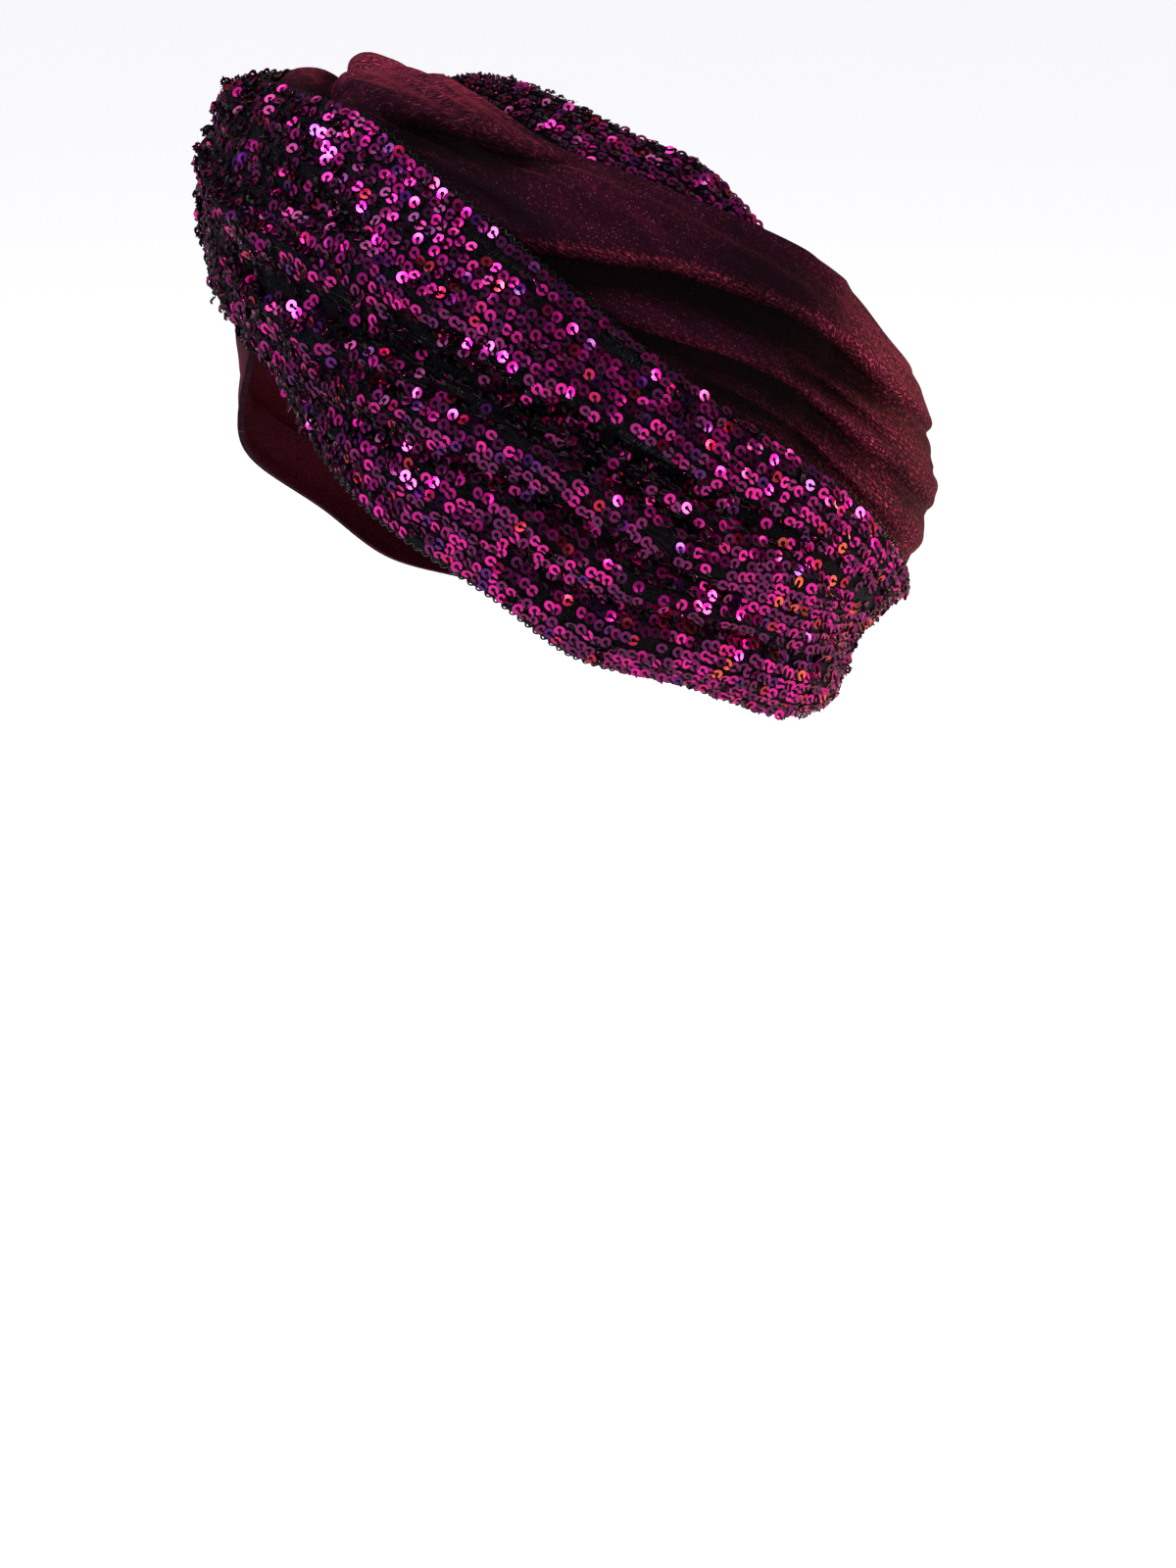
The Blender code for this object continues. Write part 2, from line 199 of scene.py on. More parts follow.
# What the shares in the table add up to, so that pleats only go in
PLEAT_CREST = 2.3

# Steps to either side by which the directions of the cloth are found
TURN_STEP = 0.35
SHARE_STEP = 0.006
# Edges of a mesh that turn by more than these degrees are sharp
SHARP_ANGLE = 60

# How far the velvet's pile is crushed, as shares of fully: everywhere; with painted sheen added
# towards the nape, more so on hanging folds there, and painted highlights over the twist and on the
# ridges of folds
CRUSH_EVEN = 0.02
SHEEN_PAINTED_NAPE = 0.48
SHEEN_PAINTED_HANGING = 0.6
HIGHLIGHT_PAINTED_TWIST = 0.64
HIGHLIGHT_PAINTED_RIDGE = 0.45
RIDGE_SHARPNESS = 14
NAPE_LEFT_FROM = (84, 48)
NAPE_RIGHT_FROM = (60, 80)
NAPE_RIGHT_SHARE = 0.6
TWIST_MIDDLE = -1
TWIST_REACH = 20
TWIST_UPPER_FROM = (0.58, 0.25)

# Sequins: cupped rings in rows along both edges of a band, which meet at a parting
SEQUIN_RADIUS = 0.00150
SEQUIN_HOLE = 0.00060
SEQUIN_CUP = 0.00003
SEQUIN_EDGE = 0.00006
SEQUIN_SIDES = 12
SEQUIN_PITCH = 0.00268
PITCH_SPREAD = 0.00022
ROW_SPACING = 0.00335
LOWER_MARGIN = 0.0021
UPPER_MARGIN = 0.0013
SEQUIN_PARTING = [
    # turn, share
    (-180, 0.50),
    (-100, 0.46),
    (-24, 0.34),
    (14, 0.44),
    (70, 0.70),
    (130, 0.74),
    (180, 0.76),
]
STRIP_PARTING = [(-48, 0.0), (95, 0.0)]
# Rows are traced over these shares, by this step of turn, and end this far from the ends
ROW_SHARES = 201
ROW_STEP = 0.5
ROW_ENDS = 1.0
# Where the pieces of the left side begin
LEFT_TURN = -12
# How sequins lie, as mean and spread in radians: they lean on the one before, roll
# sideways and swing about their thread. Some are loose and stray by more.
LEAN = (0.16, 0.17)
ROLL = (0.0, 0.18)
SWING = (-0.5, 0.4)
LOOSE_SHARE = 0.11
LOOSE_LEAN = 0.5
LOOSE_ROLL = 0.6
STEEPEST = 0.8
SHARE_SPREAD = 0.004
SHARE_ENDS = (0.01, 0.99)
# How far off the cloth a sequin lies, and how many radii more one on edge stands
SEQUIN_LIFT = 0.00045
STEEP_LIFT = 0.65
# Shares of sequins left out, anywhere and in folds, by the depth of the crease
BARE_SHARE = 0.05
FOLD_BARE = 0.40
FOLD_BARE_FROM = (0.35, 0.4)
# The share of sequins at the nape in the warmest shade, a painted reflection of the orange lamp
# behind the head, and the range of the others
WARM_REFLECTION_SHARE = 0.07
WARM_REFLECTION_FROM = (100, 40)
WARM_REFLECTION_TINT = 1.0
OTHER_TINTS = (0, 0.9)
# Sequins of the strip are sewn this far above the velvet that covers it
STRIP_CLEAR = 0.0005

# Threads, by their radius
THREAD = 0.00017
LOOP_THREAD = 0.00037
LOOP_STEPS = [
    # reach in radii of the sequin, rise
    (0.0, -0.0002),
    (0.30, 0.00022),
    (1.04, 0.00034),
    (1.25, -0.00030),
]
# The thread of a row weaves and stands off by this much, and a wider gap breaks it
ROW_THREAD = THREAD * 1.2
ROW_WEAVE = 0.00042
ROW_LIFT = 0.00022
ROW_BREAK = 6.0
# The chained edge: how far each thread runs outside the edge and swings further out,
# how far it rises and falls, where in the wave it starts, and its radius
CHAIN = [
    # reach, swing, lift, phase, radius
    (-0.0002, 0.0009, 0.0006, 0.0, 0.00034),
    (-0.0002, 0.0009, 0.0006, 0.5, 0.00034),
    (0.0002, 0.0013, 0.0002, 0.25, 0.00027),
]
CHAIN_PITCH = 0.0027
EDGE_STEP = 0.25
EDGE_SPAN = (-179.5, 179.5)
STRIP_EDGE_SPAN = (-47, 94)
# Ridges where the knit's ladder shows, with no sequins on it
LADDERS = [
    # start, share, middle, share, end, share
    (40, 0.545, 50, 0.525, 60, 0.51),
    (66, 0.50, 78, 0.49, 90, 0.485),
    (94, 0.485, 100, 0.483, 106, 0.48),
    (52, 0.70, 57, 0.706, 62, 0.712),
    (68, 0.72, 76, 0.725, 84, 0.74),
    (36, 0.945, 41, 0.945, 46, 0.945),
    (60, 0.945, 65, 0.945, 69, 0.945),
    (44, 0.30, 50, 0.295, 56, 0.29),
    (-110, 0.47, -98, 0.46, -86, 0.455),
    (-74, 0.45, -60, 0.46, -50, 0.47),
]
LADDER_PITCH = 0.00065
LADDER_WIDTH = 0.0018
LADDER_BARE = 0.0009
LADDER_POINTS = 400
LADDER_SLANT = 0.12
LADDER_STEPS = [
    # reach in half widths, rise
    (-1.0, -0.0002),
    (-0.5, 0.0004),
    (0.5, 0.0004),
    (1.0, -0.0002),
]
# Short stitches between the rows
STRAY_COUNT = 6500
STRAY_SHARES = (0.02, 0.98)
STRAY_AIM = 0.7
STRAY_REACH = (0.0005, 0.0010)
STRAY_BEND = 0.0003
STRAY_RISE = 0.00030
STRAY_THREAD = THREAD * 0.75
SEED = 7

# The photograph's frame in pixels, where the middle of the head lies in it, and the
# camera's place about that middle
PHOTO_SIZE = (1200, 1600)
HEAD_PIXEL = (587, 440)
FOCAL_PIXELS = 3330
CAMERA_AZIMUTH = 67.0
CAMERA_ELEVATION = 9.0
CAMERA_DISTANCE = 0.9
SENSOR = 36.0

FLOOR_HEIGHT = -0.305
FLOOR_REACH = 60.0
# Soft square lights that shine on the head
LIGHTS = [
    # name, place, size, power, colour
    ("key_left", (0.25, -1.5, 0.9), 0.45, 30, (0.88, 0.90, 1.0)),
    ("near_camera", (1.5, -0.9, 0.9), 0.30, 8, (0.96, 0.92, 1.0)),
    ("warm_back", (1.2, 1.2, 0.35), 0.45, 26, (1.0, 0.84, 0.74)),
    ("lamp_back", (-0.35, 1.3, 0.1), 0.25, 6, (1.0, 0.60, 0.32)),
]
# A wide light from above, with its angles in degrees
SKY_POWER = 2.0
SKY_SPREAD = 40
SKY_LEAN = (18, -14)
# Which sockets of a mix node, set to colours, are the two colours and the result
MIX_FIRST = 6
MIX_SECOND = 7
MIX_RESULT = 2

random = np.random.default_rng(SEED)


def curve_through(knots, values, at):
    """A smooth curve through values given at rising knots, read at any places."""
    knots = np.asarray(knots, float)
    values = np.asarray(values, float)
    step = np.diff(knots)
    run = np.diff(values, axis=0) / step[:, None]
    inner = (values[2:] - values[:-2]) / (knots[2:] - knots[:-2])[:, None]
    slope = np.concatenate([run[:1], inner, run[-1:]])
    near = np.clip(np.searchsorted(knots, at) - 1, 0, len(step) - 1)
    way = np.clip((at - knots[near]) / step[near], 0, 1)[:, None]
    gap = step[near][:, None]
    return (
        (1 + 2 * way) * (1 - way) ** 2 * values[near]
        + way * (1 - way) ** 2 * gap * slope[near]
        + way * way * (3 - 2 * way) * values[near + 1]
        + way * way * (way - 1) * gap * slope[near + 1]
    )


def line_share(line, turn):
    """The share at which a crease or a ladder runs, from its start, middle and end."""
    places = np.reshape(line, (3, 2))
    return curve_through(places[:, 0], places[:, 1:], turn)[:, 0]


def ease(way):
    """0 below 0, 1 above 1, and smooth between."""
    way = np.clip(way, 0, 1)
    return way * way * (3 - 2 * way)


def ease_from(place, start, run):
    """0 up to the start, 1 from a run past it on, and smooth between."""
    return ease((place - start) / run)


def arc_degrees(length):
    """The angle that a length takes up on the head."""
    return np.degrees(length / HEAD_RADIUS)


def unit(vectors):
    """Vectors made one long."""
    return vectors / np.linalg.norm(vectors, axis=-1, keepdims=True)


def flattened(turn, lat):
    """How far the head lies inside its rounded form."""
    depth = 0
    for middle, level, round_it, below, above, share in HEAD_FLATS:
        along = (np.abs(turn) - middle) / round_it
        up = (lat - level) / np.where(lat > level, above, below)
        depth = depth + share * HEAD_WIDTH * np.exp(-(along**4 + up**2) / 2)
    return depth


def on_head(turn, lat, height):
    """Points at a height over the head, where turn and lat say."""
    height = height - flattened(turn, lat)
    lean = np.radians(LEAN_BACK)
    turn, lat = np.radians(turn), np.radians(lat)
    front = np.cos(lat) * np.cos(turn)
    up = np.sin(lat)
    aim = np.stack(
        [
            np.cos(lat) * np.sin(turn),
            up * np.sin(lean) - front * np.cos(lean),
            up * np.cos(lean) + front * np.sin(lean),
        ],
        axis=-1,
    )
    full = np.abs(aim / HEAD_HALF) ** HEAD_FULLNESS
    skin = aim * full.sum(-1, keepdims=True) ** (-1 / HEAD_FULLNESS)
    normal = np.sign(skin) * np.abs(skin / HEAD_HALF) ** (HEAD_FULLNESS - 1) / HEAD_HALF
    return skin + unit(normal) * np.asarray(height)[..., None]


class Cloth:
    """A band of cloth round the head, which lies over the head or over other bands."""

    def __init__(self, sections, folds, wall, beneath, hang=0.0, pleats=0.0):
        self.sections = np.asarray(sections, float)
        self.folds = folds
        self.wall = wall
        self.beneath = beneath
        self.hang = hang
        self.pleats = pleats
        self.start = self.sections[0, 0]
        self.end = self.sections[-1, 0]

    def edges(self, turn):
        """The lat of the lower edge, and the width in degrees."""
        line, width = curve_through(self.sections[:, 0], self.sections[:, 1:3], turn).T
        span = arc_degrees(width * BAND_WIDTH)
        return line - span / 2, span

    def envelope(self, turn, share):
        """How far the middle of the wall stands off the head, but for its creases."""
        quarters = curve_through(self.sections[:, 0], self.sections[:, 3:], turn)
        at = np.clip((share * 4).astype(int), 0, 3)
        before = np.clip(at - 1, 0, 4)
        after = np.clip(at + 2, 0, 4)
        row = np.arange(len(turn))
        first, low, high, last = (quarters[row, column] for column in (before, at, at + 1, after))
        way = share * 4 - at
        bend = (high - first) / 2, (last - low) / 2
        rise = (
            (1 + 2 * way) * (1 - way) ** 2 * low
            + way * (1 - way) ** 2 * bend[0]
            + way * way * (3 - 2 * way) * high
            + way * way * (way - 1) * bend[1]
        )
        return rise * KNOT_RISE

    def cover(self, turn, lat):
        """1 where this band lies, with a margin round it, and 0 well away from it."""
        low, span = self.edges(np.clip(turn, self.start, self.end))
        beside = np.maximum(low - lat, lat - low - span)
        past = np.maximum(self.start - turn, turn - self.end) * np.cos(np.radians(lat))
        away = np.radians(np.maximum(beside, past)) * HEAD_RADIUS
        return 1 - ease((away - LAP_MARGIN) / LAP_FADE)

    def top(self, turn, lat):
        """The highest that the outer face of this band comes, at a turn and a lat."""
        inside = np.clip(turn, self.start, self.end)
        low, span = self.edges(inside)
        share = np.clip((lat - low) / span, 0, 1)
        swell = self.creases(inside, share, span)[1]
        middle = np.maximum(self.envelope(inside, share) + swell, self.floor(turn, lat))
        return middle + self.wall / 2

    def floor(self, turn, lat):
        """The lowest that the middle of the wall may lie, on what is beneath it."""
        low = np.full(len(turn), HEAD_GAP + self.wall / 2)
        for band in self.beneath:
            near = [band.top(turn + side, lat + up) for side, up in BRIDGED]
            over = np.max(near, axis=0) + LAYER_GAP + self.wall / 2
            mix = band.cover(turn, lat)
            low = np.where(over > low, low + (over - low) * mix, low)
        return low

    def creases(self, turn, share, span):
        """Depth of the creases, swell of the folds above them, and how far those hang."""
        depth, swell, droop = np.zeros((3, len(turn)))
        across = np.radians(span) * HEAD_RADIUS
        calm = 1 - self.hang * FOLD_CALM * ease_from(turn, *CALM_FROM)
        for *line, deep, above, pocket, below in self.folds:
            start, end = line[0], line[4]
            away = (share - line_share(line, turn)) * across
            reach = np.where(away > 0, away / above, np.maximum(-away - pocket, 0) / below)
            inside = calm * ease((turn - start) / FOLD_TAPER) * ease((end - turn) / FOLD_TAPER)
            depth = np.maximum(depth, deep * inside * np.exp(-(reach**CREASE_SHARPNESS)))
            swell += deep * inside * np.exp(-(((away - SWELL_REACH) / SWELL_REACH) ** 2))
            droop += deep * inside * np.exp(-(((away - above) / DROOP_REACH) ** 2))
        return depth * FOLD_DEPTH, swell * self.hang * FOLD_SWELL, droop * self.hang * FOLD_DROOP

    def ripple(self, turn, share):
        """Fine pleats, deepest at the twist and at the seam."""
        total = sum(
            weight * np.sin(2 * np.pi * count * (share + slant * turn) + phase)
            for count, slant, phase, weight in PLEATS
        )
        knot = np.exp(-((turn / KNOT_REACH) ** 2))
        seam = ease_from(np.abs(turn), *PLEAT_SEAM_FROM)
        depth = PLEAT_DEPTH * (PLEAT_EVEN + PLEAT_KNOT * knot + PLEAT_SEAM * seam)
        return self.pleats * depth * (total - PLEAT_CREST)

    def heights(self, turn, share):
        """The lat, and the height of the middle of the wall."""
        low, span = self.edges(turn)
        lat = low + span * share
        floor = self.floor(turn, lat)
        depth, swell, droop = self.creases(turn, share, span)
        crest = np.maximum(self.envelope(turn, share) + swell, floor)
        proud = np.maximum(crest - depth + self.ripple(turn, share) - floor, 0)
        roll = np.radians(span) * HEAD_RADIUS * np.minimum(share, 1 - share) / EDGE_ROLL
        turned_in = np.minimum(proud, EDGE_DROP) * (1 - np.sin(np.clip(roll, 0, 1) * np.pi / 2))
        return lat - arc_degrees(droop), floor + proud - turned_in

    def place(self, turn, share, lift=0.0):
        """Points on the outer face, or lifted off it along the head's own normal."""
        lat, height = self.heights(turn, share)
        return on_head(turn, lat, height + self.wall / 2 + lift)

    def frame_at(self, turn, share):
        """Points on the outer face with unit vectors along, across and out of it."""
        points = self.place(turn, share)
        along = unit(self.place(turn + TURN_STEP, share) - self.place(turn - TURN_STEP, share))
        across = self.place(turn, share + SHARE_STEP) - self.place(turn, share - SHARE_STEP)
        out = unit(np.cross(along, across))
        return points, along, np.cross(out, along), out


def mesh_piece(name, points, faces, finishes, face_finish=None, uv=None, values=None):
    """A mesh object that rides on the wrap, with its materials and material slot."""
    data = bpy.data.meshes.new(name)
    data.from_pydata(points, [], faces)
    for finish in finishes:
        data.materials.append(finish)
    if face_finish is not None:
        data.polygons.foreach_set("material_index", face_finish)
    if uv is not None:
        corners = np.empty(len(data.loops), np.int32)
        data.loops.foreach_get("vertex_index", corners)
        layer = data.uv_layers.new(name="cloth")
        layer.data.foreach_set("uv", uv[corners].astype(np.float32).ravel())
    for key, numbers in (values or {}).items():
        layer = data.attributes.new(key, "FLOAT", "POINT")
        layer.data.foreach_set("value", numbers.astype(np.float32))
    data.shade_smooth()
    data.set_sharp_from_angle(angle=np.radians(SHARP_ANGLE))
    piece = bpy.data.objects.new(name, data)
    bpy.context.scene.collection.objects.link(piece)
    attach(piece, "root")
    return piece


def turn_in_ends(cloth, turns, shares, outer, inner):
    """Turn the ends of a wall in at the seam, down to what the cloth lies on."""
    for row in (0, -1):
        end = turns[row]
        if abs(end) != SEAM_TURN:
            continue
        ends = np.full(len(shares), end)
        low, span = cloth.edges(ends)
        lat = low + span * shares
        rest = np.full(len(shares), HEAD_GAP)
        for band in cloth.beneath:
            below, width = band.edges(np.clip(ends, band.start, band.end))
            under = (lat > below) & (lat < below + width) & (abs(end) <= band.end)
            there = np.clip((lat - below) / width, 0, 1)
            outside = band.heights(ends, there)[1] + band.wall / 2
            rest = np.where(under, outside, rest)
        inner[row] = on_head(ends, lat, rest)
        outer[row, :, 0] = inner[row, :, 0] = np.sign(end) * SEAM_GAP / 2


def cloth_piece(name, cloth, cells, finishes):
    """The whole wall of a band: outer face, inner face and the edges between them.

    The finishes are of the outer face, the inner face and, if there is one, of deep folds: a darker
    copy of the velvet with little sheen, as painted shade.
    """
    middle, half = (cloth.start + cloth.end) / 2, (cloth.end - cloth.start) / 2
    way = np.linspace(-1, 1, cells[0] + 1)
    turns = middle + half * (TWIST_SPACING * way + (1 - TWIST_SPACING) * way**3)
    shares = np.linspace(0, 1, cells[1] + 1)
    turn, share = (grid.ravel() for grid in np.meshgrid(turns, shares, indexing="ij"))
    outer = cloth.place(turn, share).reshape(cells[0] + 1, cells[1] + 1, 3)
    inner = cloth.place(turn, share, -cloth.wall).reshape(outer.shape)
    turn_in_ends(cloth, turns, shares, outer, inner)
    across = np.linalg.norm(np.diff(outer, axis=1), axis=2).cumsum(axis=1)
    across = np.pad(across, ((0, 0), (1, 0)))
    along = np.repeat(np.radians(turns)[:, None] * HEAD_RADIUS, cells[1] + 1, axis=1)
    uv = np.stack([along, across], axis=-1).reshape(-1, 2)
    number = np.arange((cells[0] + 1) * (cells[1] + 1)).reshape(cells[0] + 1, -1)
    quads = np.stack(
        [number[:-1, :-1], number[1:, :-1], number[1:, 1:], number[:-1, 1:]], axis=-1
    ).reshape(-1, 4)
    rim = np.concatenate(
        [number[::-1, 0][:-1], number[0, :-1], number[:-1, -1], number[-1, ::-1][:-1]]
    )
    # Each quad of the sides joins the rims of the two faces
    after = np.roll(rim, -1)
    base = number.size
    sides = np.stack([rim, after, after + base, rim + base], axis=-1)
    faces = np.concatenate([quads, quads[:, ::-1] + base, sides])
    which = np.concatenate(
        [np.zeros(len(quads)), np.ones(len(quads)), np.zeros(len(sides))]
    ).astype(np.int32)
    points = np.concatenate([outer.reshape(-1, 3), inner.reshape(-1, 3)])
    values = {}
    if len(finishes) > 2:
        fold_shade, crush_and_sheen = velvet_shade_and_sheen(cloth, turn, share)
        values = {"fold_shade": np.tile(fold_shade, 2), "crush_and_sheen": np.tile(crush_and_sheen, 2)}
        # Faces deep in a crease take the darker copy of the velvet: painted shade
        which[: len(quads)][fold_shade[quads].mean(axis=1) > SHADED_COPY_DEPTH] = 2
    return mesh_piece(
        name, points, faces.tolist(), finishes, which, np.concatenate([uv, uv]), values
    )


def velvet_shade_and_sheen(cloth, turn, share):
    """How deep in a crease each place lies, for painted shade, and how far the pile is crushed, plus
    painted sheen.
    """
    depth, _, droop = cloth.creases(turn, share, cloth.edges(turn)[1])
    # Depth in the crease, which darkens the velvet as painted shade
    fold_shade = np.clip(depth / FOLD_DEPTH, 0, 1)
    hanging = np.clip(droop / FOLD_DROOP, 0, 1)
    # Painted highlight along the ridges of hanging folds
    painted_ridge = hanging**RIDGE_SHARPNESS * (1 - fold_shade) ** 0.5
    # Painted sheen towards the nape, where the lamps behind the head light the velvet
    nape = ease_from(turn, *NAPE_LEFT_FROM) + NAPE_RIGHT_SHARE * ease_from(-turn, *NAPE_RIGHT_FROM)
    # Painted highlight over the upper part of the twist
    bump = np.exp(-((turn - TWIST_MIDDLE) ** 2) / (2 * TWIST_REACH**2))
    bump = bump * ease_from(share, *TWIST_UPPER_FROM)
    crush_and_sheen = (
        CRUSH_EVEN
        + nape * (SHEEN_PAINTED_NAPE + SHEEN_PAINTED_HANGING * hanging**2)
        + HIGHLIGHT_PAINTED_TWIST * bump
        + HIGHLIGHT_PAINTED_RIDGE * painted_ridge
    )
    return fold_shade, np.clip(crush_and_sheen, 0, 1)


def rings(centre, first, second, axis):
    """Cupped discs with a hole, as closed meshes: their points and faces."""
    angle = np.linspace(0, 2 * np.pi, SEQUIN_SIDES, endpoint=False)
    cos, sin = np.cos(angle)[:, None], np.sin(angle)[:, None]
    profile = [
        (SEQUIN_HOLE, SEQUIN_EDGE - SEQUIN_CUP),
        (SEQUIN_RADIUS, SEQUIN_EDGE),
        (SEQUIN_RADIUS, -SEQUIN_EDGE),
    ]
    spread = first[:, None] * cos + second[:, None] * sin
    points = np.stack(
        [centre[:, None] + radius * spread + rise * axis[:, None] for radius, rise in profile],
        axis=2,
    )
    count = len(centre)
    number = np.arange(count * SEQUIN_SIDES * 3).reshape(count, SEQUIN_SIDES, 3)
    turned = np.roll(number, -1, axis=1)
    faces = [
        np.stack([number[..., near], number[..., far], turned[..., far], turned[..., near]], axis=-1)
        for near, far in ((0, 1), (1, 2), (2, 0))
    ]
    return points.reshape(-1, 3), np.concatenate([part.reshape(-1, 4) for part in faces])


def tubes(paths, out, radius, sides=3):
    """Closed threads, all with as many points: paths and out are (count, points, 3)."""
    ahead = unit(np.gradient(paths, axis=1))
    side = unit(np.cross(ahead, out))
    up = np.cross(side, ahead)
    angle = np.linspace(0, 2 * np.pi, sides, endpoint=False) + np.pi / 2
    ring = [np.cos(one) * side + np.sin(one) * up for one in angle]
    points = paths[:, :, None] + radius * np.stack(ring, axis=2)
    count, length = paths.shape[:2]
    number = np.arange(count * length * sides).reshape(count, length, sides)
    turned = np.roll(number, -1, axis=2)
    walls = np.stack(
        [number[:, :-1], turned[:, :-1], turned[:, 1:], number[:, 1:]], axis=-1
    ).reshape(-1, 4)
    ends = np.concatenate([number[:, 0, ::-1], number[:, -1]])
    return points.reshape(-1, 3), walls.tolist() + ends.tolist()


def sequin_rows(cloth, parting, keep):
    """Rows of sequins: for each, the turns and shares where its sequins are sewn.

    Rows below the parting follow the lower edge, and those above it the upper edge.
    keep says, of turns and shares, where the cloth carries sequins.
    """
    turns = np.arange(cloth.start + ROW_ENDS, cloth.end - ROW_ENDS, ROW_STEP)
    shares = np.linspace(0, 1, ROW_SHARES)
    turn, share = (grid.ravel() for grid in np.meshgrid(turns, shares, indexing="ij"))
    grid = cloth.place(turn, share).reshape(len(turns), len(shares), 3)
    length = np.linalg.norm(np.diff(grid, axis=1), axis=2).cumsum(axis=1)
    length = np.pad(length, ((0, 0), (1, 0)))
    parting = np.array(parting)
    split = curve_through(parting[:, 0], parting[:, 1:], turns)[:, 0]
    at_split = np.array([np.interp(one, shares, run) for one, run in zip(split, length)])
    rows = []
    for number in range(int(length.max() / ROW_SPACING)):
        low = np.full(len(turns), LOWER_MARGIN + number * ROW_SPACING)
        high = length[:, -1] - UPPER_MARGIN - number * ROW_SPACING
        for at, inside in ((low, low < at_split), (high, high >= at_split)):
            on = np.array([np.interp(one, run, shares) for one, run in zip(at, length)])
            path = cloth.place(turns, on)
            step = np.linalg.norm(np.diff(path, axis=0), axis=1)
            step = np.where(inside[1:] & inside[:-1], step, 0)
            walked = np.concatenate([[0], step.cumsum()])
            count = int(walked[-1] / SEQUIN_PITCH)
            if count < 2:
                continue
            marks = (np.arange(count) + random.uniform(0, 1)) * SEQUIN_PITCH
            marks += random.normal(0, PITCH_SPREAD, count)
            turn_at = np.interp(marks, walked, turns)
            share_at = np.interp(turn_at, turns, on)
            here = np.interp(turn_at, turns, inside.astype(float)) > 0.99
            here &= keep(turn_at, share_at)
            if here.sum() > 1:
                rows.append((turn_at[here], share_at[here]))
    return rows


def sequin_layout(cloth, rows):
    """The centre, the three axes and the shade of each sequin on its rows."""
    turn, share = (np.concatenate(part) for part in zip(*rows))
    share = np.clip(share + random.normal(0, SHARE_SPREAD, len(share)), *SHARE_ENDS)
    points, along, across, out = cloth.frame_at(turn, share)
    count = len(turn)
    lean = random.normal(*LEAN, count)
    roll = random.normal(*ROLL, count)
    loose = random.random(count) < LOOSE_SHARE
    lean += loose * random.normal(0, LOOSE_LEAN, count)
    roll += loose * random.normal(0, LOOSE_ROLL, count)
    axis = out - along * np.tan(np.clip(lean, -STEEPEST, STEEPEST))[:, None]
    axis = unit(axis + across * np.tan(np.clip(roll, -STEEPEST, STEEPEST))[:, None])
    swing = random.normal(*SWING, count)
    facing = along * np.cos(swing)[:, None] + across * np.sin(swing)[:, None]
    first = unit(facing - axis * (facing * axis).sum(1, keepdims=True))
    second = np.cross(axis, first)
    steep = np.sqrt(np.clip(1 - (axis * out).sum(1) ** 2, 0, 1))
    centre = points + out * (SEQUIN_LIFT + STEEP_LIFT * SEQUIN_RADIUS * steep)[:, None]
    # Some sequins at the nape take the last shade, a painted reflection of the orange lamp behind
    # the head
    warm = random.random(count) < WARM_REFLECTION_SHARE * ease_from(np.abs(turn), *WARM_REFLECTION_FROM)
    tint = np.where(warm, WARM_REFLECTION_TINT, random.uniform(*OTHER_TINTS, count))
    return centre, first, second, axis, tint


def sequins(name, layout, finish):
    """The sequins of one layout as one mesh, with a shade of its own for each."""
    centre, first, second, axis, tint = layout
    points, faces = rings(centre, first, second, axis)
    values = {"tint": np.repeat(tint, SEQUIN_SIDES * 3)}
    return mesh_piece(name, points, faces.tolist(), [finish], values=values)


def short_threads(name, steps, out, radius, finish):
    """Threads alike in one mesh, each step given as the points of all of them."""
    outs = np.repeat(out[:, None], len(steps), axis=1)
    points, faces = tubes(np.stack(steps, axis=1), outs, radius)
    return mesh_piece(name, points, faces, [finish])


def sequin_threads(name, layout, finish):
    """The thread that holds each sequin, from its hole over its rim to the cloth."""
    centre, first, _, axis, _ = layout
    steps = [centre + first * (SEQUIN_RADIUS * reach) + axis * rise for reach, rise in LOOP_STEPS]
    return short_threads(name, steps, axis, LOOP_THREAD, finish)


def joined_threads(name, threads, finish):
    """Threads of different lengths, each as points and faces, in one mesh."""
    faces = []
    base = 0
    for points, its_faces in threads:
        faces += [[corner + base for corner in face] for face in its_faces]
        base += len(points)
    points = np.concatenate([thread[0] for thread in threads])
    return mesh_piece(name, points, faces, [finish])


def row_threads(name, cloth, rows, finish):
    """The chain of thread that runs along each row on the face of the cloth."""
    threads = []
    for turn, share in rows:
        # A new run starts where the row has a gap
        breaks = np.flatnonzero(np.diff(turn) > ROW_BREAK) + 1
        for run_turn, run_share in zip(np.split(turn, breaks), np.split(share, breaks)):
            if len(run_turn) < 3:
                continue
            fine = np.linspace(0, len(run_turn) - 1, 2 * len(run_turn) - 1)
            at = np.arange(len(run_turn))
            turn_at = np.interp(fine, at, run_turn)
            share_at = np.interp(fine, at, run_share)
            points, _, across, out = cloth.frame_at(turn_at, share_at)
            weave = np.where(np.arange(len(fine)) % 2, ROW_WEAVE, -ROW_WEAVE)[:, None]
            path = points + across * weave + out * ROW_LIFT
            threads.append(tubes(path[None], out[None], ROW_THREAD))
    return joined_threads(name, threads, finish)


def edge_threads(name, cloth, share, side, span, finish):
    """The chained edge of the mesh: two threads that cross, and small loops outside."""
    turns = np.arange(span[0], span[1], EDGE_STEP)
    points, _, across, out = cloth.frame_at(turns, np.full(len(turns), share))
    points -= out * cloth.wall / 2
    walked = np.linalg.norm(np.diff(points, axis=0), axis=1).cumsum()
    walked = np.concatenate([[0], walked])
    threads = []
    for reach, swing, lift, phase, radius in CHAIN:
        wave = np.pi * walked / CHAIN_PITCH + phase * np.pi
        away = reach + swing * np.abs(np.sin(wave))
        path = points + across * (side * away)[:, None] + out * (lift * np.cos(wave))[:, None]
        threads.append(tubes(path[None], out[None], radius, 4))
    return joined_threads(name, threads, finish)


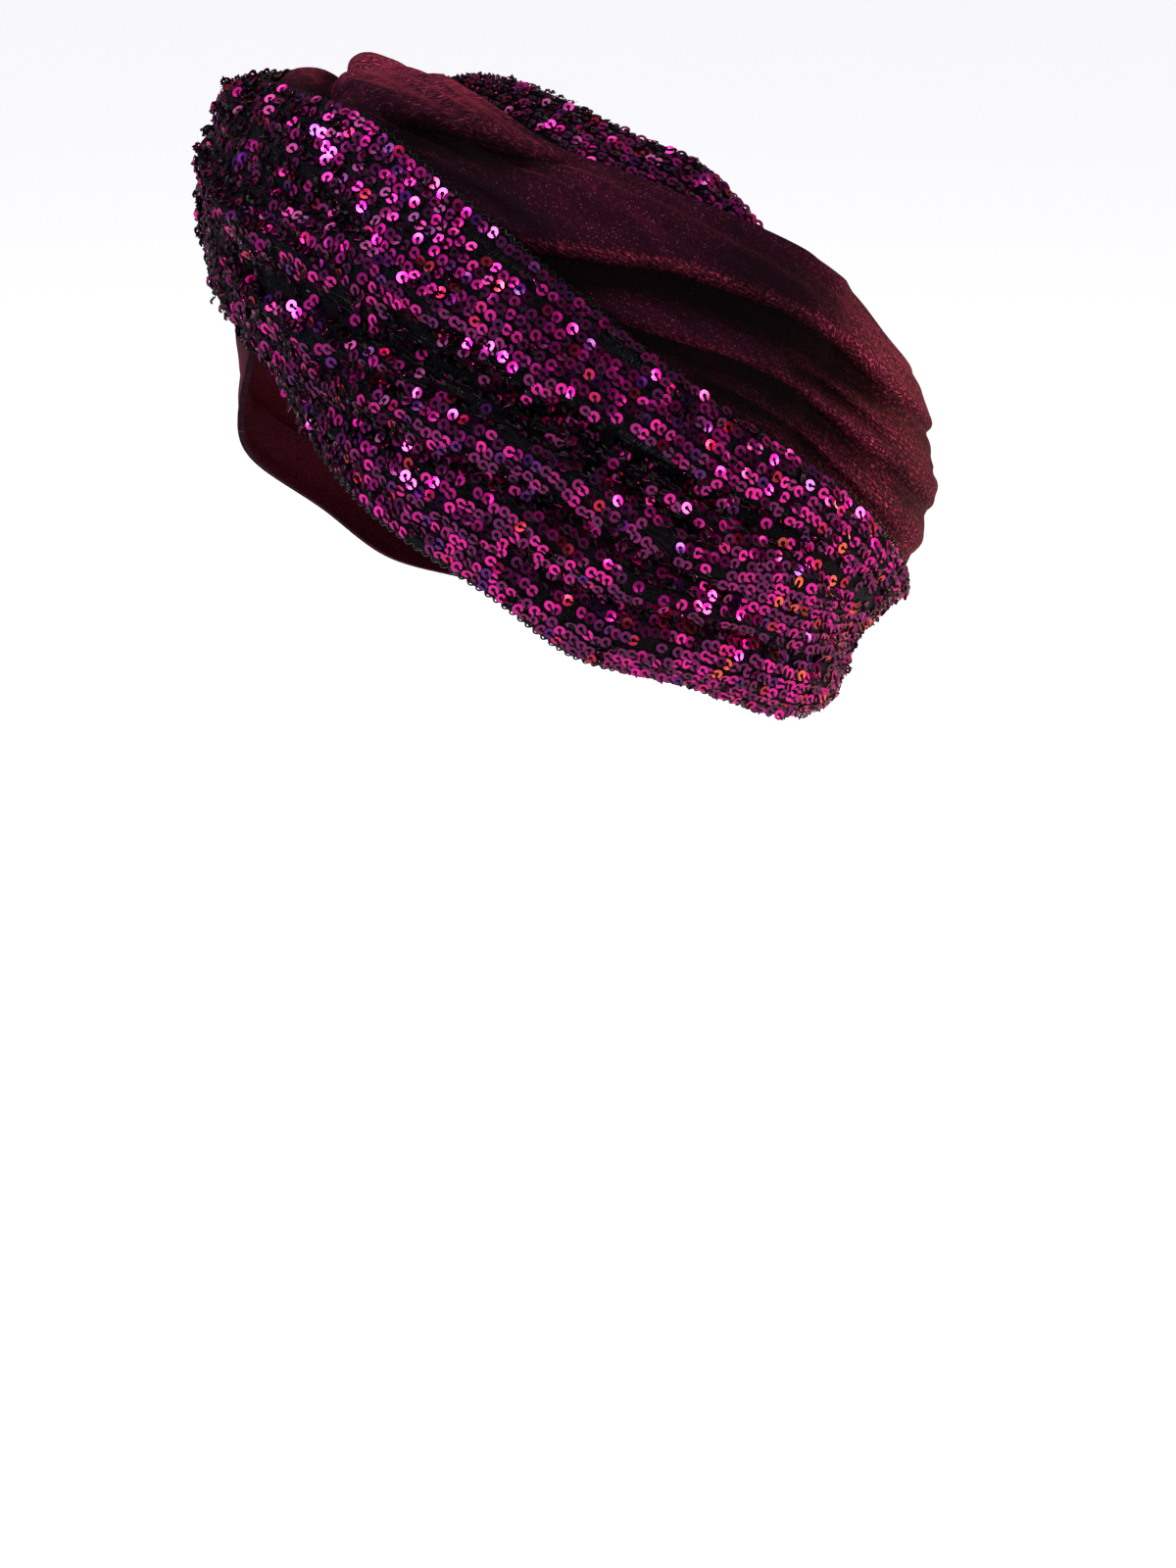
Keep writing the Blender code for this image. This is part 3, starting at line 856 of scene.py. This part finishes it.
def ladder_threads(name, cloth, lines, finish):
    """Bare ladders of the knit, with short threads side by side, along ridges."""
    feet = []
    for line in lines:
        turns = np.linspace(line[0], line[4], LADDER_POINTS)
        shares = line_share(line, turns)
        path = cloth.place(turns, shares)
        walked = np.linalg.norm(np.diff(path, axis=0), axis=1).cumsum()
        marks = np.arange(0, walked[-1], LADDER_PITCH)
        at = np.interp(marks, walked, turns[1:])
        feet.append((at, np.interp(at, turns, shares)))
    turn, share = (np.concatenate(part) for part in zip(*feet))
    points, along, across, out = cloth.frame_at(turn, share)
    slant = random.normal(0.0, LADDER_SLANT, len(turn))[:, None]
    steps = [
        points + (across + along * slant) * (LADDER_WIDTH / 2 * reach) + out * rise
        for reach, rise in LADDER_STEPS
    ]
    return short_threads(name, steps, out, THREAD, finish)


def stray_threads(name, cloth, finish):
    """Short stitches between the rows, lying as they fell."""
    turn = random.uniform(cloth.start + ROW_ENDS, cloth.end - ROW_ENDS, STRAY_COUNT)
    share = random.uniform(*STRAY_SHARES, STRAY_COUNT)
    points, along, across, out = cloth.frame_at(turn, share)
    aim = random.normal(0.0, STRAY_AIM, STRAY_COUNT)[:, None]
    aim = along * np.cos(aim) + across * np.sin(aim)
    reach = random.uniform(*STRAY_REACH, STRAY_COUNT)[:, None]
    bend = random.normal(0.0, STRAY_BEND, STRAY_COUNT)[:, None] * np.cross(out, aim)
    steps = [points - aim * reach, points + out * STRAY_RISE + bend, points + aim * reach]
    return short_threads(name, steps, out, STRAY_THREAD, finish)


def shader_of(name):
    """A new material, its node tree and its shader."""
    finish = bpy.data.materials.new(name)
    finish.use_nodes = True
    return finish, finish.node_tree, finish.node_tree.nodes["Principled BSDF"]


def feed(tree, socket, value):
    """Give a socket its value, or link it to the socket that gives it."""
    if hasattr(value, "is_output"):
        tree.links.new(value, socket)
    elif socket.type == "RGBA":
        socket.default_value = (*value, 1)
    else:
        socket.default_value = value


def settle(tree, made, **inputs):
    """Feed the inputs of a node, which are named with _ for a space."""
    for key, value in inputs.items():
        feed(tree, made.inputs[key.replace("_", " ")], value)
    return made


def node(tree, kind, **inputs):
    """A new node, with its inputs fed."""
    return settle(tree, tree.nodes.new(kind), **inputs)


def ramp(tree, source, stops):
    """The colour that a source picks from stops of (place, colour or share of white)."""
    made = node(tree, "ShaderNodeValToRGB", Fac=source)
    elements = made.color_ramp.elements
    while len(elements) < len(stops):
        elements.new(1.0)
    for element, (place, colour) in zip(elements, stops):
        element.position = place
        element.color = (*np.broadcast_to(colour, 3), 1)
    return made.outputs["Color"]


def mix_colour(tree, factor, first, second, blend="MIX"):
    """Two colours mixed, each from a socket or given as numbers."""
    mixed = tree.nodes.new("ShaderNodeMix")
    mixed.data_type = "RGBA"
    mixed.blend_type = blend
    feed(tree, mixed.inputs["Factor"], factor)
    feed(tree, mixed.inputs[MIX_FIRST], first)
    feed(tree, mixed.inputs[MIX_SECOND], second)
    return mixed.outputs[MIX_RESULT]


def times(tree, first, second):
    """Two numbers multiplied, each from a socket or given."""
    made = tree.nodes.new("ShaderNodeMath")
    made.operation = "MULTIPLY"
    feed(tree, made.inputs[0], first)
    feed(tree, made.inputs[1], second)
    return made.outputs["Value"]


def attribute(tree, name):
    """The number that the points of a mesh hold under a name."""
    made = tree.nodes.new("ShaderNodeAttribute")
    made.attribute_name = name
    return made.outputs["Fac"]


def cloth_place(tree):
    """The place on the cloth, in metres along it and across it."""
    made = tree.nodes.new("ShaderNodeUVMap")
    made.uv_map = "cloth"
    return made.outputs["UV"]


def stretched(tree, place, along, across):
    """A place with each of its directions scaled."""
    made = node(tree, "ShaderNodeMapping", Vector=place, Scale=(along, across, 1))
    return made.outputs["Vector"]


def sequin_finish():
    """Thin metallised plastic in shades from violet to crimson, and a warm last one that paints the
    reflection of the orange lamp.
    """
    finish, tree, shader = shader_of("sequin_plastic")
    colours = ramp(
        tree,
        attribute(tree, "tint"),
        [
            (0.0, (0.050, 0.0010, 0.085)),
            (0.10, (0.060, 0.0008, 0.036)),
            (0.46, (0.110, 0.0012, 0.056)),
            (0.66, (0.340, 0.0030, 0.136)),
            (0.82, (0.430, 0.0045, 0.172)),
            (0.88, (0.260, 0.0016, 0.026)),
            # The last shade is a painted reflection of the orange lamp behind the head
            (1.0, (0.50, 0.070, 0.035)),
        ],
    )
    settle(
        tree,
        shader,
        Base_Color=colours,
        Metallic=1.0,
        Roughness=0.22,
        Specular_Tint=(0.55, 0.10, 0.36),
        Coat_Weight=0.25,
        Coat_Roughness=0.12,
    )
    return finish


def thread_finish(name, grey, gloss):
    """Black thread with a little shine, which varies along it as it turns."""
    finish, tree, shader = shader_of(name)
    place = tree.nodes.new("ShaderNodeTexCoord").outputs["Object"]
    twist = node(tree, "ShaderNodeTexNoise", Vector=place, Scale=900.0, Detail=2.0).outputs["Fac"]
    shades = ramp(tree, twist, [(0.40, grey * 0.4), (0.65, (grey, grey, grey * 1.2))])
    rough = ramp(tree, twist, [(0.35, 0.28), (0.65, 0.60)])
    settle(tree, shader, Base_Color=shades, Roughness=rough, Specular_IOR_Level=gloss)
    return finish


def knit_finish(name, colour, wale, gauge):
    """A fine knit: its stitches as bump, and a slight change of shade."""
    finish, tree, shader = shader_of(name)
    scaled = stretched(tree, cloth_place(tree), 1 / wale, 1 / gauge)
    stitch = node(tree, "ShaderNodeTexVoronoi", Vector=scaled, Scale=1.0, Randomness=0.6)
    distance = stitch.outputs["Distance"]
    bump = node(tree, "ShaderNodeBump", Height=distance, Strength=1.0, Distance=0.0007)
    pale, deep = (tuple(part * share for part in colour) for share in (1.6, 0.3))
    settle(
        tree,
        shader,
        Base_Color=ramp(tree, distance, [(0.0, pale), (0.8, deep)]),
        Roughness=0.55,
        Specular_IOR_Level=0.03,
        Normal=bump.outputs["Normal"],
    )
    return finish


def velvet_finish(name, sheen):
    """Wine velvet: nearly black face on, red where its pile is seen from the side.

    Each place of the cloth says how deep in a crease it lies, which darkens it as painted shade,
    and how far its pile is crushed: crushed pile shows red streaks, brightened as painted sheen
    and highlights, and painted glints of single fibres.
    """
    finish, tree, shader = shader_of(name)
    place = cloth_place(tree)
    fold_shade, crush_and_sheen = attribute(tree, "fold_shade"), attribute(tree, "crush_and_sheen")
    patches = stretched(tree, place, 18.0, 70.0)
    patch = node(
        tree, "ShaderNodeTexNoise", Vector=patches, Scale=1.0, Detail=5.0, Roughness=0.65
    ).outputs["Fac"]
    shades = ramp(
        tree,
        patch,
        [
            (0.35, (0.0034, 0.0006, 0.0021)),
            (0.55, (0.0086, 0.0010, 0.0043)),
            (0.75, (0.021, 0.0016, 0.0076)),
        ],
    )

    streaks = stretched(tree, place, 620.0, 1400.0)
    streak = node(
        tree, "ShaderNodeTexNoise", Vector=streaks, Scale=1.0, Detail=4.0, Roughness=0.7
    ).outputs["Fac"]
    streaky = ramp(tree, streak, [(0.47, 0.02), (0.57, 0.20), (0.66, 1)])
    patchy = ramp(tree, patch, [(0.38, 0.30), (0.58, 1)])
    # Painted sheen: crimson streaks where the pile is crushed and where sheen is painted
    painted_sheen = times(tree, times(tree, streaky, crush_and_sheen), patchy)
    with_painted_sheen = mix_colour(tree, painted_sheen, shades, (0.95, 0.090, 0.180))

    # Painted glints: bright specks of single fibres, spread where the pile is crushed and sheen is
    # painted
    glint_cells = node(tree, "ShaderNodeTexVoronoi", Vector=place, Scale=1900.0, Randomness=1.0)
    spot = ramp(tree, glint_cells.outputs["Distance"], [(0.22, 1), (0.34, 0)])
    chosen = node(tree, "ShaderNodeSeparateColor", Color=glint_cells.outputs["Color"])
    few = ramp(tree, chosen.outputs["Red"], [(0.68, 0), (1.0, 1)])
    where = ramp(tree, patch, [(0.36, 0), (0.70, 0.8)])
    spread = mix_colour(tree, crush_and_sheen, where, (1.0, 1.0, 1.0))
    painted_glints = times(tree, times(tree, spot, few), spread)
    with_painted_glints = mix_colour(tree, painted_glints, with_painted_sheen, (0.30, 0.085, 0.105))

    # Painted shade: the colour darkens with the depth of the crease
    inside = ramp(tree, fold_shade, [(0.0, 1), (0.30, 0.55), (0.7, 0.10)])
    colour = mix_colour(tree, 1.0, with_painted_glints, inside, "MULTIPLY")
    pile = node(tree, "ShaderNodeTexNoise", Vector=place, Scale=1800.0, Detail=2.0)
    bump = node(tree, "ShaderNodeBump", Height=pile.outputs["Fac"], Strength=0.7, Distance=0.0004)
    settle(
        tree,
        shader,
        Base_Color=colour,
        Normal=bump.outputs["Normal"],
        Roughness=0.8,
        Sheen_Weight=sheen,
        Sheen_Roughness=0.20,
        Sheen_Tint=(0.80, 0.08, 0.15),
        Specular_IOR_Level=0.02,
    )
    return finish


def camera():
    """A camera that sees the head where the photograph does."""
    azimuth, elevation = np.radians(CAMERA_AZIMUTH), np.radians(CAMERA_ELEVATION)
    away = np.array(
        [
            np.sin(azimuth) * np.cos(elevation),
            -np.cos(azimuth) * np.cos(elevation),
            np.sin(elevation),
        ]
    )
    offset = np.subtract(HEAD_PIXEL, np.divide(PHOTO_SIZE, 2))
    yaw, pitch = np.arctan2(offset[0], FOCAL_PIXELS), np.arctan2(-offset[1], FOCAL_PIXELS)
    tilt = elevation + pitch
    ahead = np.array(
        [-np.sin(azimuth) * np.cos(tilt), np.cos(azimuth) * np.cos(tilt), -np.sin(tilt)]
    )
    right = np.array([np.cos(azimuth), np.sin(azimuth), 0.0])
    up = np.cross(right, ahead)
    ahead_in = ahead * np.cos(yaw) - right * np.sin(yaw)
    right_in = right * np.cos(yaw) + ahead * np.sin(yaw)
    data = bpy.data.cameras.new("camera")
    data.sensor_width = SENSOR
    data.lens = FOCAL_PIXELS / PHOTO_SIZE[1] * SENSOR
    made = bpy.data.objects.new("camera", data)
    bpy.context.scene.collection.objects.link(made)
    turned = Matrix(np.stack([right_in, up, -ahead_in], axis=1).tolist()).to_4x4()
    made.matrix_world = Matrix.Translation((away * CAMERA_DISTANCE).tolist()) @ turned
    bpy.context.scene.camera = made


def light(name, place, size, power, colour):
    """A soft square light that shines on the head."""
    data = bpy.data.lights.new(name, "AREA")
    data.shape = "SQUARE"
    data.size = size
    data.energy = power
    data.color = colour
    lamp = bpy.data.objects.new(name, data)
    bpy.context.scene.collection.objects.link(lamp)
    lamp.location = place
    lamp.rotation_euler = (-lamp.location).to_track_quat("-Z", "Y").to_euler()


def room():
    """A pale background, and for reflections a dim room with bright ends and top."""
    world = bpy.data.worlds.new("room")
    bpy.context.scene.world = world
    world.use_nodes = True
    tree = world.node_tree
    back = settle(tree, tree.nodes["Background"], Color=(0.934, 0.930, 0.952))
    place = tree.nodes.new("ShaderNodeTexCoord").outputs["Generated"]
    parts = node(tree, "ShaderNodeSeparateXYZ", Vector=place)
    # 0 in front of the wearer and 1 behind
    way = node(tree, "ShaderNodeMapRange", Value=parts.outputs["Y"], From_Min=-1.0)
    ends = ramp(
        tree,
        way.outputs["Result"],
        [
            (0.0, (0.62, 0.64, 0.80)),
            (0.42, (0.10, 0.10, 0.12)),
            (0.75, (0.07, 0.06, 0.06)),
            (1.0, (0.50, 0.38, 0.32)),
        ],
    )
    top = ramp(tree, parts.outputs["Z"], [(0.35, 0), (0.9, (0.40, 0.41, 0.45))])
    dim = node(tree, "ShaderNodeBackground", Color=mix_colour(tree, 1.0, ends, top, "ADD"))
    seen = tree.nodes.new("ShaderNodeLightPath")
    choice = node(tree, "ShaderNodeMixShader", Fac=seen.outputs["Is Camera Ray"])
    feed(tree, choice.inputs[1], dim.outputs["Background"])
    feed(tree, choice.inputs[2], back.outputs["Background"])
    feed(tree, tree.nodes["World Output"].inputs["Surface"], choice.outputs["Shader"])


def studio():
    """Pale floor, soft lights and a pale background."""
    data = bpy.data.meshes.new("floor")
    corners = [
        (across * FLOOR_REACH, along * FLOOR_REACH, FLOOR_HEIGHT)
        for across, along in ((-1, -1), (1, -1), (1, 1), (-1, 1))
    ]
    data.from_pydata(corners, [], [(0, 1, 2, 3)])
    finish, tree, shader = shader_of("pale_floor")
    settle(tree, shader, Base_Color=(0.95, 0.945, 0.925), Roughness=0.9)
    data.materials.append(finish)
    floor = bpy.data.objects.new("floor", data)
    bpy.context.scene.collection.objects.link(floor)
    for row in LIGHTS:
        light(*row)
    sun = bpy.data.lights.new("sky", "SUN")
    sun.energy = SKY_POWER
    sun.angle = np.radians(SKY_SPREAD)
    lamp = bpy.data.objects.new("sky", sun)
    bpy.context.scene.collection.objects.link(lamp)
    lamp.rotation_euler = (*np.radians(SKY_LEAN), 0)
    room()
    bpy.context.scene.view_settings.view_transform = "Standard"


def sequins_kept(cloth, turn, share):
    """Where the sequin band carries sequins: off its ladders, and fewer in its folds."""
    depth = cloth.creases(turn, share, cloth.edges(turn)[1])[0] / FOLD_DEPTH
    bare = BARE_SHARE + FOLD_BARE * ease_from(depth, *FOLD_BARE_FROM)
    keep = random.random(len(turn)) > bare
    for line in LADDERS:
        near = np.abs(share - line_share(line, turn)) * BAND_WIDTH < LADDER_BARE
        keep &= ~(near & (turn > line[0]) & (turn < line[4]))
    return keep


def strip_shows(strip, velvet, turn, share):
    """Where the strip shows above the velvet."""
    low, span = strip.edges(turn)
    lat = low + span * share
    velvet_low, velvet_span = velvet.edges(turn)
    return lat > velvet_low + velvet_span + arc_degrees(STRIP_CLEAR)


def main():
    """The camera and the room, then the cloth with its sequins and threads."""
    camera()
    studio()
    strip = Cloth(STRIP_SECTIONS, [], STRIP_WALL, [])
    velvet = Cloth(VELVET_SECTIONS, VELVET_FOLDS, VELVET_WALL, [strip], hang=1.0, pleats=1.0)
    sequin = Cloth(SEQUIN_SECTIONS, SEQUIN_FOLDS, SEQUIN_WALL, [strip, velvet], pleats=0.8)

    plastic = sequin_finish()
    thread = thread_finish("black_thread", grey=0.003, gloss=0.08)
    bare_thread = thread_finish("bare_thread", grey=0.0065, gloss=0.18)
    mesh_knit = knit_finish("black_mesh", (0.0022, 0.0014, 0.0028), wale=0.0012, gauge=0.0007)
    velvet_knit = knit_finish(
        "velvet_wrong_side", (0.040, 0.0022, 0.007), wale=0.0007, gauge=0.0006
    )
    pile = velvet_finish("velvet_pile", sheen=0.16)
    # A darker copy with little sheen for deep folds: painted shade
    pile_painted_shade = velvet_finish("velvet_painted_fold_shade", sheen=0.03)

    velvet_cloth = cloth_piece(
        "velvet_cloth", velvet, VELVET_CELLS, [pile, velvet_knit, pile_painted_shade]
    )
    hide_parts("velvet_band")
    sequin_cloth = cloth_piece(
        "sequin_mesh", sequin, SEQUIN_CELLS, [mesh_knit, mesh_knit]
    )
    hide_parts("sequin_band")
    strip_cloth = cloth_piece(
        "crown_strip_mesh", strip, STRIP_CELLS, [mesh_knit, mesh_knit]
    )
    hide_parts("sequin_crown_strip")

    rows = sequin_rows(sequin, SEQUIN_PARTING, lambda *at: sequins_kept(sequin, *at))
    on_strip = sequin_rows(strip, STRIP_PARTING, lambda *at: strip_shows(strip, velvet, *at))
    left = [(turn[turn >= LEFT_TURN], share[turn >= LEFT_TURN]) for turn, share in rows]
    right = [(turn[turn < LEFT_TURN], share[turn < LEFT_TURN]) for turn, share in rows]
    on_cloth = {"left": [], "right": [], "strip": []}
    for side, cloth, its_rows, slot in (
        ("left", sequin, left, "sequin_cloth"),
        ("right", sequin, right, "sequin_cloth"),
        ("strip", strip, on_strip, "sequin_strip_cloth"),
    ):
        layout = sequin_layout(cloth, its_rows)
        on_cloth[side] += [
            sequins(f"sequins_{side}", layout, plastic),
            sequin_threads(f"sequin_threads_{side}", layout, thread),
            row_threads(f"row_threads_{side}", cloth, its_rows, thread),
        ]
    on_cloth["left"] += [
        edge_threads("edge_lower", sequin, 0.0, -1, EDGE_SPAN, thread),
        edge_threads("edge_upper", sequin, 1.0, 1, EDGE_SPAN, thread),
        ladder_threads("ladders", sequin, LADDERS, bare_thread),
        stray_threads("stray_threads", sequin, bare_thread),
    ]
    on_cloth["strip"].append(
        edge_threads("edge_strip", strip, 1.0, 1, STRIP_EDGE_SPAN, thread)
    )


main()
